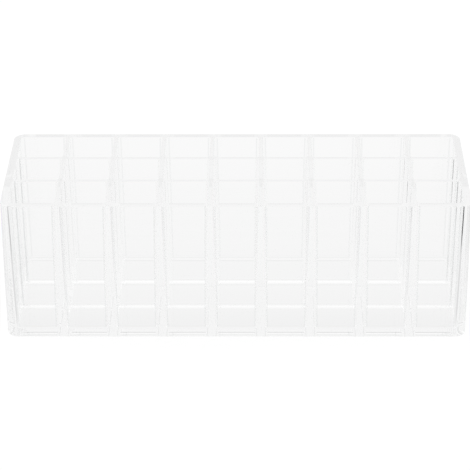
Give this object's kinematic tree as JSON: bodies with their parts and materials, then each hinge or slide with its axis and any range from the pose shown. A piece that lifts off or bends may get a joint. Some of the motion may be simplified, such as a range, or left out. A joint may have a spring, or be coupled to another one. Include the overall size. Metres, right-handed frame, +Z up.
{
  "type": "lipstick organiser",
  "caption": "Clear open-topped rectangular organiser whose crossing dividers make a grid of square cells that each hold a lipstick upright.",
  "frame": {"origin": "middle of the flat base, on the surface that the organiser stands on", "axes": "+X along the front from left to right, +Y from the front to the back, +Z up, out of the cells"},
  "size_m": [0.2216, 0.0776, 0.0712],
  "materials": {
    "clear_plastic": "clear, polished"
  },
  "bodies": {
    "root": {"outer_tray": "clear_plastic", "row_divider_1": "clear_plastic", "row_divider_2": "clear_plastic", "column_divider_1": "clear_plastic", "column_divider_2": "clear_plastic", "column_divider_3": "clear_plastic", "column_divider_4": "clear_plastic", "column_divider_5": "clear_plastic", "column_divider_6": "clear_plastic", "column_divider_7": "clear_plastic", "column_divider_8": "clear_plastic"}
  },
  "joints": []
}
